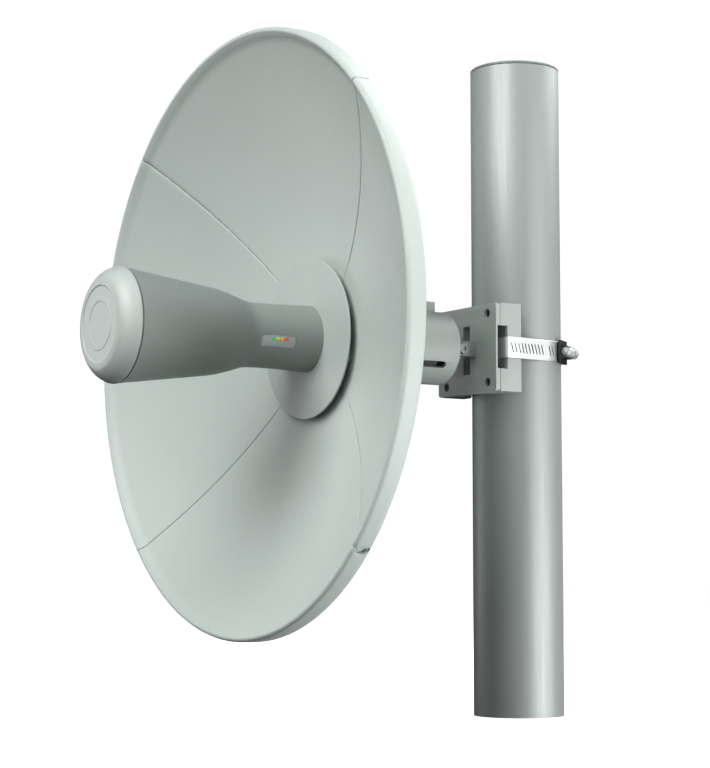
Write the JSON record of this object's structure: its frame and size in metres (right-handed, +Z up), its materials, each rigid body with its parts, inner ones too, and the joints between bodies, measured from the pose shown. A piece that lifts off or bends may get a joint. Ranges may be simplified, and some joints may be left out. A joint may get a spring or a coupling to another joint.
{
  "type": "mast-mounted radio dish antenna",
  "caption": "Solid parabolic radio dish with a bottle-shaped feed radio, a tilting rear socket, and a bracket held to a short round mast by a hose clamp.",
  "frame": {"origin": "centre of the mast's lower end, on the mast's axis", "axes": "+Z up along the mast, the dish faces -Y, +X to the right as seen from the dish's front looking along +Y"},
  "size_m": [0.4, 0.3635, 0.462],
  "materials": {
    "reflector_paint": "pale grey powder coat, fine texture",
    "housing_plastic": "pale grey moulded plastic, fine spark texture",
    "cap_plastic": "slightly lighter grey moulded plastic",
    "bracket_casting": "grey painted die casting",
    "mast_metal": "satin grey tube with fine lengthwise drawing lines",
    "mast_cap_plastic": "dark grey plastic end cap",
    "clamp_steel": "bright brushed stainless band",
    "stainless": "plain stainless",
    "dark_steel": "black coated steel",
    "screw_steel": "dark coated steel",
    "black_rubber": "black rubber",
    "window_lens": "frosted clear plastic",
    "led_red": "red light pipe",
    "led_amber": "amber light pipe",
    "led_lime": "yellow-green light pipe",
    "led_green": "green light pipe",
    "tin_plate": "tin plate",
    "board": "green solder mask"
  },
  "bodies": {
    "mast": {"mast_tube": "mast_metal", "mast_cap": "mast_cap_plastic"},
    "bracket": {"bracket_face": "bracket_casting", "bracket_frame": "bracket_casting", "corner_screw_1": "screw_steel", "corner_screw_2": "screw_steel", "corner_screw_3": "screw_steel", "corner_screw_4": "screw_steel", "pivot_bolt": "stainless", "pivot_nut": "stainless", "pivot_washer_left": "stainless", "pivot_washer_right": "stainless", "clamp_band": "clamp_steel", "worm_housing": "dark_steel"},
    "worm": {"worm_screw": "stainless"},
    "antenna": {"reflector_right": "reflector_paint", "reflector_top": "reflector_paint", "reflector_left": "reflector_paint", "reflector_bottom": "reflector_paint", "socket_housing": "housing_plastic", "port_grommet": "black_rubber", "ethernet_jack": "tin_plate", "reflector_screw_1": "stainless", "reflector_screw_2": "stainless", "reflector_screw_3": "stainless", "reflector_screw_4": "stainless", "reflector_screw_5": "stainless", "reflector_screw_6": "stainless", "reflector_screw_7": "stainless", "reflector_screw_8": "stainless", "base_disc": "housing_plastic", "radio_shell": "housing_plastic", "front_cap": "cap_plastic", "cap_seal": "black_rubber", "led_window": "window_lens", "status_led_1": "led_red", "status_led_2": "led_amber", "status_led_3": "led_lime", "status_led_4": "led_green", "circuit_board": "board", "radio_shield": "tin_plate", "processor_shield": "tin_plate", "feed_post": "tin_plate", "splash_plate": "tin_plate"},
    "latch": {"latch_tab": "housing_plastic"}
  },
  "joints": [
    {"name": "mast_azimuth", "type": "hinge", "parent": "mast", "child": "bracket", "pos_m": [0, 0, 0.255], "axis": [0, 0, 1], "continuous": true},
    {"name": "elevation", "type": "hinge", "parent": "bracket", "child": "antenna", "pos_m": [0, -0.055, 0.255], "axis": [-1, 0, 0], "range_deg": [-20, 20]},
    {"name": "worm_turn", "type": "hinge", "parent": "bracket", "child": "worm", "pos_m": [0.03184, 0.02147, 0.255], "axis": [-0.5592, 0.829, 0], "continuous": true},
    {"name": "latch_press", "type": "slide", "parent": "antenna", "child": "latch", "axis": [0, 0, -1], "range_m": [0, 0.002], "stiffness_N_per_m": 1500}
  ]
}
